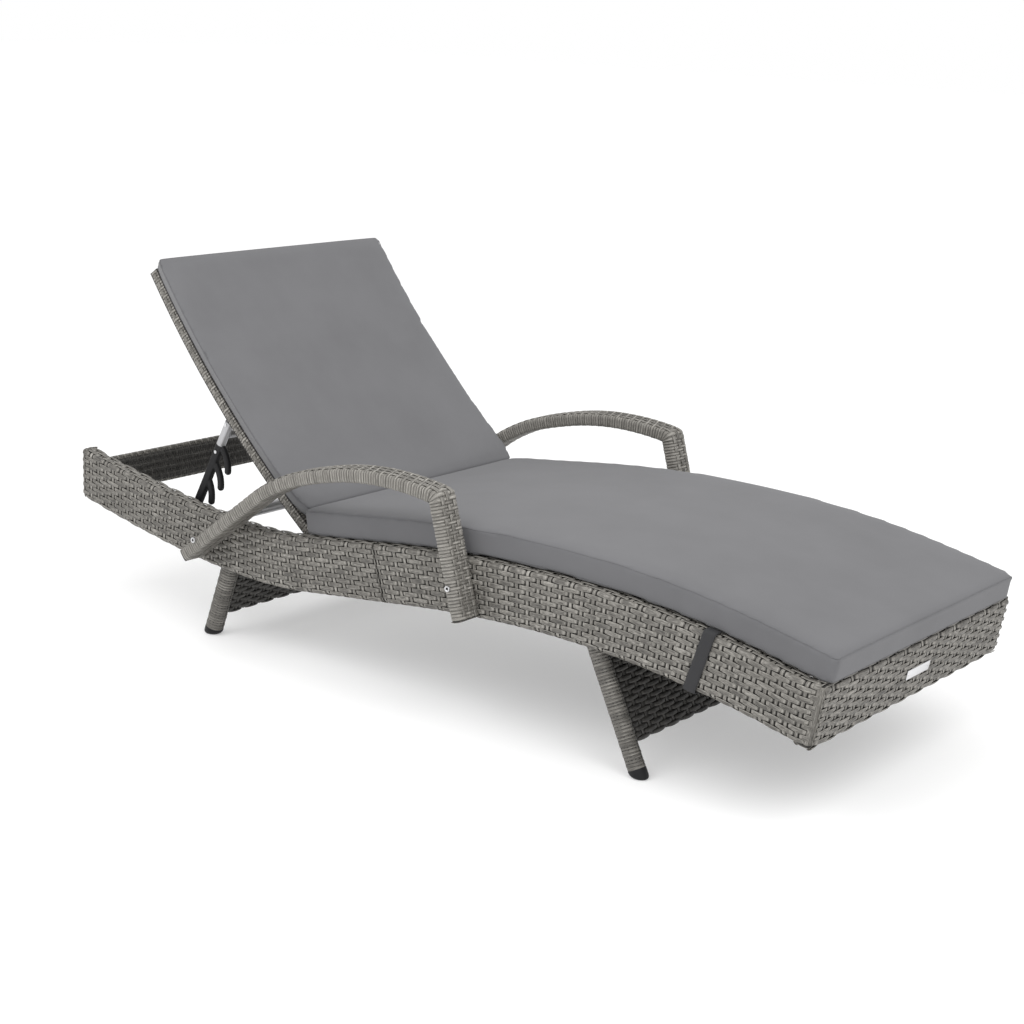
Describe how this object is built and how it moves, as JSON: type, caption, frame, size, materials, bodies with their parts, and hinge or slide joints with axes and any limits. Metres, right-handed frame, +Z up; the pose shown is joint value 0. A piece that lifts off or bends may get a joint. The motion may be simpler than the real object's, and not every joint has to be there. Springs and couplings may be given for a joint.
{
  "type": "reclining sun lounger",
  "caption": "Woven sun lounger with a curved frame, arched armrests, splayed legs, a ratchet backrest held by a prop strut, and box cushions.",
  "frame": {"origin": "on the ground, at the middle of the lounger's length and width", "axes": "+X along the length towards the foot end, +Y towards a lying person's left arm, +Z up"},
  "size_m": [1.842, 0.8062, 0.7663],
  "materials": {
    "wicker": "mottled warm grey flat synthetic rattan, woven and wrapped",
    "shaded_wicker": "the same rattan on the inner and under faces",
    "cushion_fabric": "plain grey woven polyester",
    "satin_tube": "satin silver",
    "black_plastic": "moulded, fine grain",
    "elastic_strap": "woven elastic",
    "steel": "zinc plated"
  },
  "bodies": {
    "frame": {"side_rail_head_right": "wicker", "side_rail_head_left": "wicker", "side_rail_foot_right": "wicker", "side_rail_foot_left": "wicker", "armrest_right": "wicker", "armrest_left": "wicker", "front_leg_right": "wicker", "front_leg_left": "wicker", "rear_leg_right": "wicker", "rear_leg_left": "wicker", "foot_panel": "wicker", "head_crossbar": "shaded_wicker", "seat_deck": "shaded_wicker", "front_leg_panel": "shaded_wicker", "rear_leg_panel": "shaded_wicker", "seat_cushion": "cushion_fabric", "deck_tube_1": "satin_tube", "deck_tube_2": "satin_tube", "deck_tube_3": "satin_tube", "ratchet_bar": "satin_tube", "foot_cap_front_right": "black_plastic", "foot_cap_front_left": "black_plastic", "foot_cap_rear_right": "black_plastic", "foot_cap_rear_left": "black_plastic", "ratchet_bar_bracket_right": "black_plastic", "ratchet_bar_bracket_left": "black_plastic", "cushion_strap": "elastic_strap", "rail_joint_plate_right": "steel", "rail_joint_plate_left": "steel", "armrest_screw_front_right": "steel", "armrest_screw_front_left": "steel", "armrest_screw_rear_right": "steel", "armrest_screw_rear_left": "steel", "hinge_bracket_right": "steel", "hinge_bracket_left": "steel", "hinge_pin_right": "steel", "hinge_pin_left": "steel", "badge_plate": "steel"},
    "backrest": {"back_side_tube_right": "wicker", "back_side_tube_left": "wicker", "back_top_tube": "wicker", "back_bottom_tube": "wicker", "back_panel": "wicker", "back_cushion": "cushion_fabric", "strut_bracket_right": "steel", "strut_bracket_left": "steel"},
    "prop_strut": {"strut_tube_right": "satin_tube", "strut_tube_left": "satin_tube", "strut_cross_tube": "satin_tube", "ratchet_comb_right": "black_plastic", "ratchet_comb_left": "black_plastic", "strut_pivot_pin_right": "steel", "strut_pivot_pin_left": "steel", "comb_screw_right": "steel", "comb_screw_left": "steel"}
  },
  "joints": [
    {"name": "backrest_recline", "type": "hinge", "parent": "frame", "child": "backrest", "pos_m": [-0.254, 0, 0.252], "axis": [0, -1, 0], "range_deg": [0, 36.5]},
    {"name": "strut_swing", "type": "hinge", "parent": "backrest", "child": "prop_strut", "pos_m": [-0.519, 0, 0.445], "axis": [0, -1, 0], "range_deg": [-88, 0]}
  ],
  "couplings": [
    {"joint": "strut_swing", "follows": "backrest_recline", "ratio": -2.4}
  ]
}
